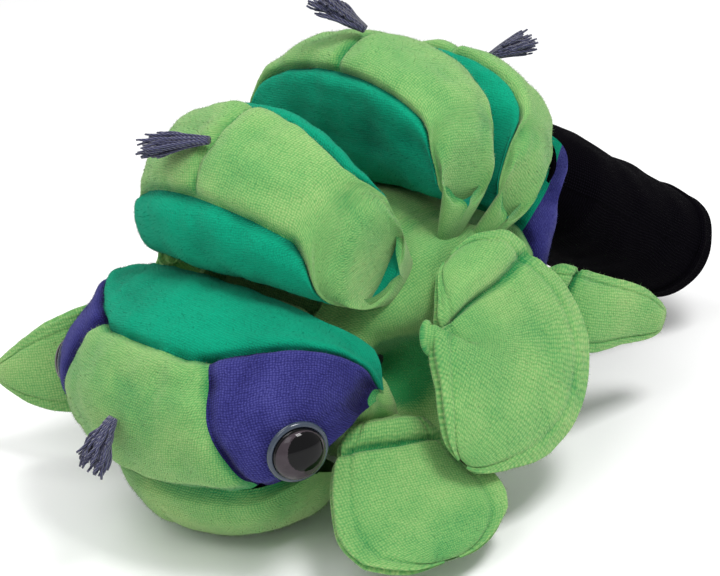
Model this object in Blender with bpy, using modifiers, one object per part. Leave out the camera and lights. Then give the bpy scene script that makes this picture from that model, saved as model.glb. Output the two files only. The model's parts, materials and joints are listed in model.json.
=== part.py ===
"""Moving mouth puppet: a soft hand puppet with a snout, three stuffed humps, six feet and an arm cuff.

Lengths are in millimetres and turned to metres where a mesh is made. The puppet looks along -Y, its
left side is +X, and it stands on Z = 0. The humps fan out round one line across the body, so a place
on the back is given by x, a radius and an angle about that line. The finished object is moved along Y
so that its origin lies under the fan line.
"""

import math

import bmesh
import bpy
from mathutils import Matrix, Vector

MM = 0.001

# Cloth
CLOTH = 1.6            # a sewn panel with its pile
GAP = 0.35             # clearance that keeps neighbouring pieces apart
LINING = 1.0

# The line that the humps fan round, and the back
FAN = Vector((0, 55, 78))
ORIGIN = Vector((0, FAN.y, 0))
HALF_WIDTH = 57
RING = 37              # radius of the side seams round the fan line
HUMP_FULLNESS = 0.62   # how square the humps are across the back
HUMP_LIMIT = math.radians(80)
HUMP_UNDER = math.radians(172)       # where the front and back panels end under a hump
SEAM_END = math.radians(140)         # where a hump's seams lie at its ends

# Head
HEAD = Vector((0, -14, 64))
HEAD_HALF_WIDTH = 67
HEAD_LIMIT = math.radians(88.5)
HEAD_FULLNESS = 0.5     # how square the head is from side to side
CHEEK_BACK = 17        # how far the sides of the head lie behind its middle
CHEEK_DROP = 3
CROWN_EDGE = math.radians(150)      # seam between snout and crown
PATCH_INNER = math.radians(28)      # sideways angle of the seam between snout and eye patch
PATCH_OUTER = math.radians(86.5)
CROWN_BACK = math.radians(96)
LIP = math.radians(206)
PALATE = 38            # height of the mouth roof
MOUTH_HINGE = Vector((0, -15, 36))
NECK = Vector((0, 12, 80))
MOUTH_GAP = 5.2

# Jaw
JAW = Vector((0, -15, 31))
JAW_HALF_WIDTH = 44
JAW_REACH = 42          # in front of the mouth's hinge
JAW_BACK = 24
JAW_LIMIT = math.radians(78)

# Arm
CUFF_JOINT = Vector((0, 136, 93))
CUFF_SLOPE = math.radians(36)
CUFF_LENGTH = 88
CUFF_HALF_WIDTH = 43
CUFF_HALF_HEIGHT = 26
CUFF_CLOTH = 2
HEM_CLOTH = 3           # the knit turned back on itself
HEM_DEPTH = 9
HEM_WIDER = 0.6

# Eyes and tufts
EYE_RADIUS = 11.5
EYE_DEPTH = 8.5
EYE_SIDE = math.radians(71)
EYE_ANGLE = math.radians(191)
SHANK = 2.4
WASHER = 7
WASHER_DEPTH = 4        # behind the patch

PARTS = "Moving mouth puppet"
CUTTERS = "Cutters"


def clear_scene():
    for obj in list(bpy.data.objects):
        bpy.data.objects.remove(obj, do_unlink=True)


def make_collection(name):
    collection = bpy.data.collections.new(name)
    bpy.context.scene.collection.children.link(collection)
    return collection


def make_material(name, colour, roughness=0.9):
    made = bpy.data.materials.new(name)
    made.use_nodes = True
    shader = made.node_tree.nodes["Principled BSDF"]
    shader.inputs["Base Color"].default_value = (*colour, 1)
    shader.inputs["Roughness"].default_value = roughness
    shader.inputs["Metallic"].default_value = 0
    made.diffuse_color = (*colour, 1)
    return made


def make_pivot(name, place, parent=None):
    """An empty on a joint's axis. The pieces of the moving body hang from it."""
    pivot = bpy.data.objects.new(name, None)
    pivot.empty_display_size = 0.02
    PIECES.objects.link(pivot)
    pivot.parent = parent
    pivot.location = (place - (PLACES[parent.name] if parent else ORIGIN)) * MM
    PLACES[name] = place
    return pivot


def finish_piece(name, bm, colour, pivot):
    """Turns a bmesh in millimetres and world places into an object that hangs from its pivot."""
    home = PLACES[pivot.name] if pivot else ORIGIN
    for vertex in bm.verts:
        vertex.co = (vertex.co - home) * MM
    mesh = bpy.data.meshes.new(name)
    bm.to_mesh(mesh)
    bm.free()
    obj = bpy.data.objects.new(name, mesh)
    obj.data.materials.append(colour)
    PIECES.objects.link(obj)
    obj.parent = pivot
    return obj


def sheet(name, colour, pivot, place, inside, steps, thickness=CLOTH, around=False):
    """A cloth panel: a grid bent by place(u, v), its outer face away from inside, thickened inwards."""
    bm = bmesh.new()
    bmesh.ops.create_grid(bm, x_segments=steps[0], y_segments=steps[1], size=0.5)
    for vertex in bm.verts:
        vertex.co = place(vertex.co.x + 0.5, vertex.co.y + 0.5)
    if around:
        bmesh.ops.remove_doubles(bm, verts=bm.verts, dist=0.001)
    bm.normal_update()
    outward = sum((f.calc_center_median() - inside).dot(f.normal) * f.calc_area() for f in bm.faces)
    if outward < 0:
        bmesh.ops.reverse_faces(bm, faces=bm.faces)
    obj = finish_piece(name, bm, colour, pivot)
    thicken = obj.modifiers.new("Thickness", "SOLIDIFY")
    thicken.thickness = thickness * MM
    thicken.offset = -1
    return obj


def ball(name, colour, pivot, place, steps):
    """A closed soft piece: a sphere bent by place(unit vector)."""
    bm = bmesh.new()
    bmesh.ops.create_uvsphere(bm, u_segments=steps[0], v_segments=steps[1], radius=1,
                              matrix=Matrix.Rotation(math.pi / 2, 4, "Y"))
    for vertex in bm.verts:
        vertex.co = place(vertex.co.normalized())
    if bm.calc_volume(signed=True) < 0:
        bmesh.ops.reverse_faces(bm, faces=bm.faces)
    return finish_piece(name, bm, colour, pivot)


def disc(name, colour, pivot, centre, facing, radius, depth, sides=24):
    """A round plate or pin whose middle is at centre."""
    turn = Vector((0, 0, 1)).rotation_difference(facing).to_matrix().to_4x4()
    bm = bmesh.new()
    bmesh.ops.create_cone(bm, cap_ends=True, segments=sides, radius1=radius, radius2=radius, depth=depth,
                          matrix=Matrix.Translation(centre) @ turn)
    return finish_piece(name, bm, colour, pivot)


def cut(obj, cutter):
    cutter.hide_render = True
    cutter.display_type = "WIRE"
    if cutter.name in PIECES.objects:
        PIECES.objects.unlink(cutter)
        HELPERS.objects.link(cutter)
    boolean = obj.modifiers.new("Cut " + cutter.name, "BOOLEAN")
    boolean.operation = "DIFFERENCE"
    boolean.solver = "EXACT"
    boolean.object = cutter


def blend(a, b, share):
    return a + (b - a) * share


def through(points, t):
    """A smooth value through evenly spaced points, for t from 0 to 1."""
    last = len(points) - 1
    where = min(max(t, 0), 1) * last
    i = min(int(where), last - 1)
    s = where - i
    before = points[max(i - 1, 0)]
    after = points[min(i + 2, last)]
    a, b = points[i], points[i + 1]
    return 0.5 * (2 * a + (b - before) * s + (2 * before - 5 * a + 4 * b - after) * s * s
                  + (3 * a - 3 * b + after - before) * s * s * s)


# The back: humps and the tail


def fan_point(x, radius, angle):
    return Vector((x, FAN.y + radius * math.cos(angle), FAN.z + radius * math.sin(angle)))


class Hump:
    """A stuffed crescent over the back. turn runs round its section, from its top to its tail side."""

    def __init__(self, middle, spread, top, front_seam, back_seam, end_lean):
        self.middle = math.radians(middle)
        self.spread = math.radians(spread)
        self.top = top
        self.front_seam = -math.radians(front_seam)
        self.back_seam = math.radians(back_seam)
        self.end_lean = math.radians(end_lean)

    def point(self, side, turn, inset=0.0):
        full = math.cos(side) ** HUMP_FULLNESS
        half = (self.top - RING) / 2 * full
        radius = RING + half + (half - inset) * rounded(math.cos(turn))
        spread = self.spread - inset / radius
        angle = self.middle + self.end_lean * (1 - full)
        angle -= spread * rounded(math.sin(turn)) * blend(0.7, 1, full)
        return fan_point((HALF_WIDTH - inset) * math.sin(side), radius, angle)

    def middle_point(self):
        return fan_point(0, (RING + self.top) / 2, self.middle)


def rounded(value, power=0.78):
    """Makes a circle's sine or cosine fuller, for a plump section."""
    return math.copysign(abs(value) ** power, value)


def seam_span(low, high, share, size):
    """From low to high, held back from each end by half a gap along an arc of this size."""
    room = math.copysign(0.5 * GAP / max(abs(size), 1), high - low)
    return blend(low + room, high - room, share)


def spread_seam(turn, side):
    """The green panels widen towards the ends of a hump, so that its seams run out into its grooves."""
    share = min(max((abs(side) / HUMP_LIMIT - 0.45) / 0.55, 0), 1)
    return blend(turn, math.copysign(max(abs(turn), SEAM_END), turn), share * share)


def make_hump(number, hump, pivot):
    name = f"hump_{number}_"
    inside = hump.middle_point()
    size = (hump.top - RING) / 2

    def panel(low_turn, high_turn, low_side, high_side):
        def place(u, v):
            side = seam_span(low_side, high_side, u, HALF_WIDTH)
            full = max(math.cos(side) ** HUMP_FULLNESS, 0.3)
            low, high = spread_seam(low_turn, side), spread_seam(high_turn, side)
            return hump.point(side, seam_span(low, high, v, size * full * 0.08))
        return place

    front, back = hump.front_seam, hump.back_seam
    limit, half, whole = HUMP_LIMIT, (13, 6), (26, 5)
    sheet(name + "left_panel", GREEN, pivot, panel(front, back, 0, limit), inside, half)
    sheet(name + "right_panel", GREEN, pivot, panel(front, back, -limit, 0), inside, half)
    leading, trailing = panel(-HUMP_UNDER, front, -limit, limit), panel(back, HUMP_UNDER, -limit, limit)
    sheet(name + "front_panel", TURQUOISE, pivot, leading, inside, whole)
    sheet(name + "back_panel", TURQUOISE, pivot, trailing, inside, whole)

    def core(n):
        side = math.asin(max(-1, min(1, n.x))) * HUMP_LIMIT / (math.pi / 2)
        return hump.point(side, math.atan2(n.y, n.z), CLOTH + 2.2)

    ball(name + "stuffing", FIBRE, pivot, core, (14, 12))


# The head and the jaw


HEAD_PROFILE = (33, 37, 41, 44, 49, 56, 58, 57)   # from the groove behind the crown round to the lip
HEAD_FROM = math.radians(86)
HEAD_TO = math.radians(212)


def head_radius(angle):
    return through(HEAD_PROFILE, (angle - HEAD_FROM) / (HEAD_TO - HEAD_FROM))


def head_point(side, angle, inset=0.0):
    full = math.cos(side) ** HEAD_FULLNESS
    radius = head_radius(angle) * full - inset
    return Vector((
        (HEAD_HALF_WIDTH - inset) * math.sin(side),
        HEAD.y + radius * math.cos(angle) + CHEEK_BACK * (1 - full),
        HEAD.z + radius * math.sin(angle) - CHEEK_DROP * (1 - full),
    ))


def crown_back(side):
    """The crown's back edge, which reaches further back at the sides of the head."""
    return CROWN_BACK - math.radians(32) * min(abs(side) / math.radians(70), 1) ** 3


def crown_edge(side):
    """The seam behind the snout, which climbs to the groove at each side of the head."""
    return CROWN_EDGE - math.radians(40) * max(0, (abs(side) - 0.35) / 0.85) ** 1.3


def patch_inner(share):
    """The sideways angle of the eye patch's inner seam, from the crown down to the lip."""
    return PATCH_INNER + math.radians(22) * share


def head_panel(top, bottom, inner, outer):
    """A head panel between two seams round the head and two across it, each a function or an angle."""
    def place(u, v):
        low, high = (edge(v) if callable(edge) else edge for edge in (inner, outer))
        side = seam_span(low, high, u, HEAD_HALF_WIDTH * 0.8 * (1 if high > low else -1))
        low, high = (edge(side) if callable(edge) else edge for edge in (top, bottom))
        return head_point(side, seam_span(low, high, v, 18 * math.cos(side) ** HEAD_FULLNESS))
    return place


def jaw_point(side, angle, inset=0.0):
    full = math.cos(side) ** 0.6
    reach = JAW_REACH if math.cos(angle) < 0 else JAW_BACK
    return Vector((
        (JAW_HALF_WIDTH - inset) * math.sin(side),
        JAW.y + (reach - inset) * full * rounded(math.cos(angle), 0.8),
        JAW.z + (29.5 - inset) * full * rounded(math.sin(angle), 0.8),
    ))


def mouth_outline(share, half_width, reach):
    """Half an ellipse from corner to corner, round the front of the mouth."""
    angle = math.pi * share
    return half_width * math.cos(angle), MOUTH_HINGE.y - 2 - reach * math.sin(angle)


def mouth_board(name, colour, pivot, half_width, reach, low, high):
    """A flat plate shaped like the mouth: straight at the hinge and round at the front."""
    bm = bmesh.new()
    steps = 20
    rim = [mouth_outline(i / steps, half_width, reach) for i in range(steps + 1)]
    floor = bm.faces.new([bm.verts.new((x, y, low)) for x, y in rim])
    raised = bmesh.ops.extrude_face_region(bm, geom=[floor])["geom"]
    for vertex in (item for item in raised if isinstance(item, bmesh.types.BMVert)):
        vertex.co.z = high
    bmesh.ops.recalc_face_normals(bm, faces=bm.faces)
    return finish_piece(name, bm, colour, pivot)


def make_head(pivot):
    inside = HEAD.copy()
    sheet("snout_panel", GREEN, pivot,
          head_panel(crown_edge, LIP, lambda v: -patch_inner(v), patch_inner), inside, (10, 10))
    sheet("crown_panel", TURQUOISE, pivot,
          head_panel(crown_back, crown_edge, -PATCH_OUTER, PATCH_OUTER), inside, (30, 6))

    for sign, word in ((1, "left"), (-1, "right")):
        outer = sign * PATCH_OUTER
        sheet(word + "_eye_patch", BLUE, pivot,
              head_panel(crown_edge, LIP, lambda v: sign * patch_inner(v), outer), inside, (14, 10))
        sheet(word + "_cheek_strip", GREEN, pivot,
              head_panel(crown_back, LIP, outer, sign * HEAD_LIMIT), inside, (3, 14))
    mouth_board("mouth_roof_board", CARD, pivot, 50, 40, PALATE + 1.3, PALATE + 2.8)
    mouth_board("mouth_roof_lining", LINING_CLOTH, pivot, 51, 42, PALATE, PALATE + 0.95)


def make_jaw(pivot):
    inside = JAW + Vector((0, 0, -8))

    def place(u, v):
        side = blend(-JAW_LIMIT, JAW_LIMIT, u)
        return jaw_point(side, blend(math.radians(184), math.radians(345), v))

    sheet("jaw_panel", GREEN, pivot, place, inside, (16, 12))
    top = PALATE - MOUTH_GAP
    mouth_board("tongue_lining", LINING_CLOTH, pivot, 39, 32, top - 0.95, top)
    mouth_board("tongue_board", CARD, pivot, 38, 31, top - 2.8, top - 1.3)


# The body, the feet and the cuff


def foot(name, pivot, line, sides, widths, thick, steps=(16, 16)):
    """A limp flap along a bent line, as wide as widths say, with its flat side turning along the way."""
    def place(n):
        share = (n.x + 1) / 2
        middle = through(line, share)
        along = (through(line, min(share + 0.02, 1)) - through(line, max(share - 0.02, 0))).normalized()
        side = through(sides, share)
        side = (side - along * side.dot(along)).normalized()
        normal = along.cross(side)
        ring = math.hypot(n.y, n.z)
        turn = math.atan2(n.z, n.y)
        wide = through(widths, share) * min(1, ring * 1.25) ** 0.8
        deep = thick * min(1, ring * 1.6)
        return middle + side * wide * math.cos(turn) + normal * deep * math.sin(turn)
    return ball(name, GREEN, pivot, place, steps)


BODY = (
    (Vector((0, 14, 48)), 49, 31, -20),
    (Vector((0, 38, 53)), 55, 54, 0),
    (Vector((0, 68, 54)), 55, 56, 0),
    (Vector((0, 96, 53)), 51, 40, 5),
    (Vector((0, 114, 74)), 45, 27, 25),
    (Vector((0, 131, 95)), 39, 21, 36),
)
GLOVE = (
    (Vector((0, 12, 52)), 38, 18, -15),
    (Vector((0, 38, 70)), 40, 26, 0),
    (Vector((0, 66, 75)), 40, 26, 0),
    (Vector((0, 92, 68)), 38, 19, 10),
    (Vector((0, 112, 78)), 35, 15, 28),
    (Vector((0, 128, 93)), 30, 11, 36),
)
FINGERS = (
    (Vector((0, 4, 52)), 38, 9, 0),
    (Vector((0, -20, 50)), 38, 8, 0),
    (Vector((0, -46, 49)), 30, 5, 0),
)
THUMB = (
    (Vector((0, -8, 19)), 24, 8, 0),
    (Vector((0, -24, 19)), 24, 7, 0),
    (Vector((0, -44, 19)), 17, 4, 0),
)
BODY_FULLNESS = 0.62
BODY_PANELS = {
    "belly_panel": (206, 334, 0, 1),
    "left_side_panel": (-26, 62, 0, 0.66),
    "right_side_panel": (118, 206, 0, 0.66),
    "left_tail_patch": (-26, 45, 0.66, 1),
    "right_tail_patch": (135, 206, 0.66, 1),
    "saddle_panel": (62, 118, 0, 0.66),
    "tail_panel": (45, 135, 0.66, 1),
}


def tube_point(stations, turn, share, power=0.85):
    """A place on a sleeve through stations of (middle, half width, half height, lean of the ring)."""
    middle, wide, high, lean = (through([s[i] for s in stations], share) for i in range(4))
    across = wide * rounded(math.cos(turn), power)
    up = high * rounded(math.sin(turn), power)
    lean = math.radians(lean)
    place = middle + Vector((across, up * math.sin(lean), up * math.cos(lean)))
    place.z = max(place.z, 0)
    return place


def sleeve(name, colour, pivot, stations, steps, thickness):
    def place(u, v):
        return tube_point(stations, 2 * math.pi * u, v)
    inside = stations[len(stations) // 2][0]
    return sheet(name, colour, pivot, place, inside, steps, thickness, around=True)


def make_body():
    for name, (low, high, first, last) in BODY_PANELS.items():
        def place(u, v):
            turn = seam_span(math.radians(low), math.radians(high), u, 6)
            return tube_point(BODY, turn, seam_span(first, last, v, 16), BODY_FULLNESS)
        colour = TAIL_COLOURS.get(name, GREEN)
        rows = max(3, round(12 * (last - first)))
        sheet(name, colour, None, place, BODY[2][0], (12, rows), CLOTH)
    sleeve("hand_lining", LINING_CLOTH, None, GLOVE, (24, 10), LINING)


def make_pockets(head, jaw):
    sleeve("finger_pocket", LINING_CLOTH, head, FINGERS, (20, 5), LINING)
    sleeve("thumb_pocket", LINING_CLOTH, jaw, THUMB, (16, 4), LINING)


def make_stuffing(head):
    """The head's filling lies over the finger pocket."""
    def place(n):
        side = math.asin(max(-1, min(1, n.x))) * HEAD_LIMIT / (math.pi / 2) * 0.88
        angle = math.atan2(n.z, n.y) % (2 * math.pi)
        if HEAD_FROM < angle < HEAD_TO:
            spot = head_point(side, angle, CLOTH + 0.7)
        else:
            full = math.cos(side) ** HEAD_FULLNESS
            x = (HEAD_HALF_WIDTH - 3) * math.sin(side)
            spot = Vector((x, HEAD.y + CHEEK_BACK * (1 - full), HEAD.z))
            spot += Vector((0, 8 * math.cos(angle), 20 * math.sin(angle)))
        over_fingers = min(max((spot.y + 72) / 8, 0), 1)
        spot.z = max(spot.z, blend(45, 62.5, over_fingers))
        return spot
    return ball("head_stuffing", FIBRE, head, place, (20, 16))


def make_cuff(pivot):
    down = Vector((0, math.cos(CUFF_SLOPE), -math.sin(CUFF_SLOPE)))
    lean = math.degrees(CUFF_SLOPE)

    def station(along, wider):
        wide, high = CUFF_HALF_WIDTH + wider, CUFF_HALF_HEIGHT + wider * 0.5
        return CUFF_JOINT + down * along, wide, high, lean

    tube = [station(CUFF_LENGTH * i / 6, 0) for i in range(7)]
    sleeve("cuff", BLACK, pivot, tube, (28, 8), CUFF_CLOTH)
    hem = [station(CUFF_LENGTH + GAP + HEM_DEPTH * i / 2, HEM_WIDER) for i in range(3)]
    sleeve("cuff_hem", BLACK, pivot, hem, (28, 2), HEM_CLOTH)


def tuft(name, pivot, root, tip, sag):
    """A bundle of yarn tails: narrow where it is sewn in, wider at its cut ends."""
    root, tip = Vector(root), Vector(tip)

    def place(n):
        share = (n.x + 1) / 2
        along = (tip - root).normalized()
        side = along.cross(Vector((0, 0, 1))).normalized()
        up = side.cross(along)
        wide = blend(2.2, 5.5, share)
        middle = blend(root, tip, share) + Vector((0, 0, -sag * share * share))
        ring = min(1, math.hypot(n.y, n.z) * 1.4)
        turn = math.atan2(n.z, n.y)
        return middle + ring * wide * (side * math.cos(turn) + up * 0.7 * math.sin(turn))
    return ball(name, NAVY, pivot, place, (10, 8))


def eye_place(sign):
    """The middle of an eye on its patch and the way that it looks."""
    side, angle = EYE_SIDE, EYE_ANGLE
    spot = head_point(side, angle)
    across = head_point(side + 0.05, angle) - head_point(side - 0.05, angle)
    round_it = head_point(side, angle + 0.05) - head_point(side, angle - 0.05)
    facing = across.cross(round_it).normalized()
    if facing.x < 0:
        facing = -facing
    return Vector((sign * spot.x, spot.y, spot.z)), Vector((sign * facing.x, facing.y, facing.z))


def make_eye(word, sign, pivot, patch, stuffing):
    spot, facing = eye_place(sign)
    turn = Vector((0, 0, 1)).rotation_difference(facing).to_matrix().to_4x4()
    lift = 1.2
    bm = bmesh.new()
    bmesh.ops.create_uvsphere(bm, u_segments=28, v_segments=16, radius=1)
    for vertex in bm.verts:
        height = EYE_DEPTH * vertex.co.z if vertex.co.z > 0 else 0.4 * vertex.co.z
        vertex.co = Vector((vertex.co.x * EYE_RADIUS, vertex.co.y * EYE_RADIUS, height))
    bm.transform(Matrix.Translation(spot + facing * lift) @ turn)
    eye = finish_piece(word + "_eye", bm, EYE_PLASTIC, pivot)
    shank = disc(word + "_eye_shank_shape", EYE_PLASTIC, pivot, spot - facing * 3, facing, SHANK, 10)
    cut(eye, shank)
    eye.modifiers[-1].operation = "UNION"
    behind = spot - facing * WASHER_DEPTH
    washer = disc(word + "_eye_washer", WASHER_PLASTIC, pivot, behind, facing, WASHER, 1.2)
    cut(washer, disc(word + "_washer_bore", EYE_PLASTIC, pivot, behind, facing, SHANK + GAP, 6))
    hole = disc(word + "_shank_hole", EYE_PLASTIC, pivot, spot - facing * 5, facing, SHANK + GAP, 22)
    middle = spot - facing * 6.5
    room = disc(word + "_washer_room", WASHER_PLASTIC, pivot, middle, facing, WASHER + 1, 10)
    cut(patch, hole)
    cut(stuffing, room)


def points(*rows):
    return [Vector(row) for row in rows]


FEET = {
    "left_front_foot": (points((58, 8, 48), (74, -1, 33), (91, -9, 20), (107, -14, 11)),
                        points((0, 1, 0.1), (0.15, 1, 0.05), (0.27, 0.95, -0.04), (0.2, 0.95, -0.1)),
                        (14, 27, 34, 27), 4),
    "left_middle_foot": (points((60, 46, 99), (73, 53, 84), (83, 50, 62), (94, 13, 37)),
                         points((0, 0.96, 0.27), (0, 0.99, 0.13), (0.02, 1, -0.12), (-0.05, 0.98, -0.2)),
                         (18, 29, 41, 21), 4),
    "left_rear_foot": (points((55, 94, 70), (67, 106, 58), (71, 128, 49), (73, 149, 39)),
                       points((0, 0.2, 1), (-0.2, 0.25, 0.9), (-0.1, 0.4, 0.9), (0, 0.5, 0.85)),
                       (12, 16, 12, 7), 4),
    "right_front_foot": (points((-61, 14, 45), (-80, -8, 45), (-95, -32, 42), (-116, -46, 40)),
                         points((0, 0.2, 1), (0, 0.2, 1), (-0.1, 0.1, 1), (-0.1, 0.1, 1)),
                         (18, 21, 17, 5), 4),
}


clear_scene()
PLACES = {}
PIECES = make_collection(PARTS)
HELPERS = make_collection(CUTTERS)
GREEN = make_material("green_velour", (0.155, 0.515, 0.10))
TURQUOISE = make_material("turquoise_velour", (0.0, 0.38, 0.24))
BLUE = make_material("blue_velour", (0.075, 0.075, 0.42))
TAIL_COLOURS = {"tail_panel": TURQUOISE, "left_tail_patch": BLUE, "right_tail_patch": BLUE}
BLACK = make_material("black_knit", (0.006, 0.005, 0.009))
LINING_CLOTH = make_material("lining_cloth", (0.02, 0.03, 0.03))
NAVY = make_material("navy_yarn", (0.03, 0.03, 0.09))
FIBRE = make_material("white_fibre", (0.8, 0.8, 0.78))
EYE_PLASTIC = make_material("eye_plastic", (0.02, 0.015, 0.015), 0.08)
WASHER_PLASTIC = make_material("washer_plastic", (0.8, 0.8, 0.78), 0.5)
CARD = make_material("mouth_board", (0.3, 0.26, 0.2), 0.8)
HUMPS = (Hump(137, 24, 98, 13, 50, 13), Hump(76.5, 18.5, 93, 56, 54, 3), Hump(43, 13.5, 98, 35, 45, -4))
HEAD_PIVOT = make_pivot("head_pivot", NECK)
JAW_PIVOT = make_pivot("jaw_pivot", MOUTH_HINGE, HEAD_PIVOT)
HUMP_PIVOTS = [make_pivot(f"hump_{i + 1}_pivot", FAN) for i in range(len(HUMPS))]
for index, made_hump in enumerate(HUMPS):
    make_hump(index + 1, made_hump, HUMP_PIVOTS[index])
HEAD_FILL = make_stuffing(HEAD_PIVOT)
make_head(HEAD_PIVOT)
make_jaw(JAW_PIVOT)
make_pockets(HEAD_PIVOT, JAW_PIVOT)
for eye_sign, eye_word in ((1, "left"), (-1, "right")):
    make_eye(eye_word, eye_sign, HEAD_PIVOT, bpy.data.objects[eye_word + "_eye_patch"], HEAD_FILL)
make_body()
make_cuff(make_pivot("cuff_pivot", CUFF_JOINT))
for foot_name, shape in FEET.items():
    foot(foot_name, make_pivot(foot_name + "_pivot", shape[0][0]), *shape)
    twin = foot_name.replace("left", "right")
    if twin not in FEET:
        mirrored = [[Vector((-v.x, v.y, v.z)) for v in row] for row in shape[:2]]
        foot(twin, make_pivot(twin + "_pivot", mirrored[0][0]), *mirrored, *shape[2:])
tuft("nose_tuft", HEAD_PIVOT, (3, -73, 65), (2, -85, 50), 2)
tuft("hump_1_tuft", HUMP_PIVOTS[0], (2, -13, 153), (-19, -24, 153), 2)
tuft("hump_2_tuft", HUMP_PIVOTS[1], (2, 68, 172.5), (-9, 58, 185), 0)
tuft("hump_3_tuft", HUMP_PIVOTS[2], (0, 135, 142), (8, 148, 147), 0)
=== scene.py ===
"""Looks of the moving mouth puppet: plush velour skins with sewn seams, limp feet, yarn tufts, moulded eyes
and a knitted cuff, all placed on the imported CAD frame. Lengths are in millimetres until a mesh is made.
"""

import json
import math
import random

import bmesh
import bpy
from mathutils import Matrix, Vector, noise

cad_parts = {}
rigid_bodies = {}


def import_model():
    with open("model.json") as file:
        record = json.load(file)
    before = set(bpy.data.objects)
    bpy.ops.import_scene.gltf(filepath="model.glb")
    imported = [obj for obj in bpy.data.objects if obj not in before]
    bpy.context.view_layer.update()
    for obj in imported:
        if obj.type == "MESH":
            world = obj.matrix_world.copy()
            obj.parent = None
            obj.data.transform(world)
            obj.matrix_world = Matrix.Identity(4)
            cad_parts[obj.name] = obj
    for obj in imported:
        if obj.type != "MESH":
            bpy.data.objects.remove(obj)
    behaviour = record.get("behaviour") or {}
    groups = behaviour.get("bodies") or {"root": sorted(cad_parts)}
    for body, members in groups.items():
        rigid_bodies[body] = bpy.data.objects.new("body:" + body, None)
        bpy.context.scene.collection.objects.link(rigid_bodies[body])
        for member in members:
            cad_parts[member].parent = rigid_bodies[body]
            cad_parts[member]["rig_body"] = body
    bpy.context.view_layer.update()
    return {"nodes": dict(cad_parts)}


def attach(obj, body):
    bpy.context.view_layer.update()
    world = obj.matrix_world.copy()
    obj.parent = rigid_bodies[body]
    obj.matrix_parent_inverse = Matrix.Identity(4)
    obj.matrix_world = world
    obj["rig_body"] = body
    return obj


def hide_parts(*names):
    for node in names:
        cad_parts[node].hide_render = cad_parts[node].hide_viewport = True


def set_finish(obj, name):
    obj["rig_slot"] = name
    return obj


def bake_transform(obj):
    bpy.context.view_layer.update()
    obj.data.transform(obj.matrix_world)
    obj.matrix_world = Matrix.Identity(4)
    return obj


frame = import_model()

MM = 0.001
ORIGIN = Vector((0, 55, 0))      # the frame's origin, in the millimetre places below

# The driving sizes, as in the CAD
FAN = Vector((0, 55, 78))
HALF_WIDTH = 57
RING = 37
HUMP_FULLNESS = 0.62
HEAD = Vector((0, -14, 64))
HEAD_HALF_WIDTH = 67
HEAD_PROFILE = (33, 37, 41, 44, 49, 56, 58, 57)
HEAD_FROM = math.radians(86)
HEAD_TO = math.radians(212)
CHEEK_BACK = 17
CHEEK_DROP = 3
HEAD_FULLNESS = 0.5
CROWN_EDGE = math.radians(150)
CROWN_BACK = math.radians(92)
PATCH_INNER = math.radians(28)
PATCH_OUTER = math.radians(89.5)
LIP = math.radians(207)
JAW = Vector((0, -15, 31))
JAW_HALF_WIDTH = 44
JAW_REACH = 42
JAW_BACK = 24
MOUTH_HINGE = Vector((0, -15, 36))
PALATE = 38
MOUTH_GAP = 5.2
CUFF_JOINT = Vector((0, 136, 93))
CUFF_SLOPE = math.radians(36)
CUFF_START = -8
HEM_START = 87
CUFF_LENGTH = 97
CUFF_WALL = 1.8
CUFF_HALF_WIDTH = 43
CUFF_HALF_HEIGHT = 26


# Small tools


def blend(a, b, share):
    return a + (b - a) * share


def smooth(low, high, value):
    """0 below low, 1 above high, and an S between."""
    t = min(max((value - low) / (high - low), 0), 1)
    return t * t * (3 - 2 * t)


def hill(distance, width):
    """1 on a line and dying away over this width to both sides."""
    return math.exp(-(distance / width) ** 2)


def rounded(value, power=0.78):
    return math.copysign(abs(value) ** power, value)


def through(points, t):
    """A smooth value through evenly spaced points, for t from 0 to 1."""
    last = len(points) - 1
    where = min(max(t, 0), 1) * last
    i = min(int(where), last - 1)
    s = where - i
    before = points[max(i - 1, 0)]
    after = points[min(i + 2, last)]
    a, b = points[i], points[i + 1]
    return 0.5 * (2 * a + (b - before) * s + (2 * before - 5 * a + 4 * b - after) * s * s
                  + (3 * a - 3 * b + after - before) * s * s * s)


def points(*rows):
    return [Vector(row) for row in rows]


def wrinkle(place, size, seed=0):
    """Smooth noise from -1 to 1 with lumps of about this size, at a place in millimetres."""
    return noise.noise((place + Vector((31 * seed, 17 * seed, 7 * seed))) / size)


def fan_point(x, radius, angle):
    return Vector((x, FAN.y + radius * math.cos(angle), FAN.z + radius * math.sin(angle)))


# Materials


class Nodes:
    """Builds a Principled material node by node."""

    def __init__(self, name):
        self.made = bpy.data.materials.new(name)
        self.made.use_nodes = True
        self.tree = self.made.node_tree
        self.shader = self.tree.nodes["Principled BSDF"]

    def add(self, kind, **settings):
        node = self.tree.nodes.new(kind)
        for key, value in settings.items():
            if key in node.inputs:
                node.inputs[key].default_value = value
            else:
                setattr(node, key, value)
        return node

    def join(self, source, target):
        self.tree.links.new(source, target)

    def math(self, operation, a, b=None):
        node = self.add("ShaderNodeMath", operation=operation)
        for slot, value in zip(node.inputs, (a, b)):
            if isinstance(value, bpy.types.NodeSocket):
                self.join(value, slot)
            elif value is not None:
                slot.default_value = value
        return node.outputs[0]

    def ramp(self, source, stops):
        node = self.add("ShaderNodeValToRGB")
        elements = node.color_ramp.elements
        while len(elements) < len(stops):
            elements.new(0.5)
        for element, (place, colour) in zip(elements, stops):
            element.position = place
            element.color = (*colour, 1)
        self.join(source, node.inputs["Fac"])
        return node.outputs["Color"]

    def bump(self, height, depth, strength):
        node = self.add("ShaderNodeBump", Strength=strength, Distance=depth)
        self.join(height, node.inputs["Height"])
        return node.outputs["Normal"]


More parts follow.
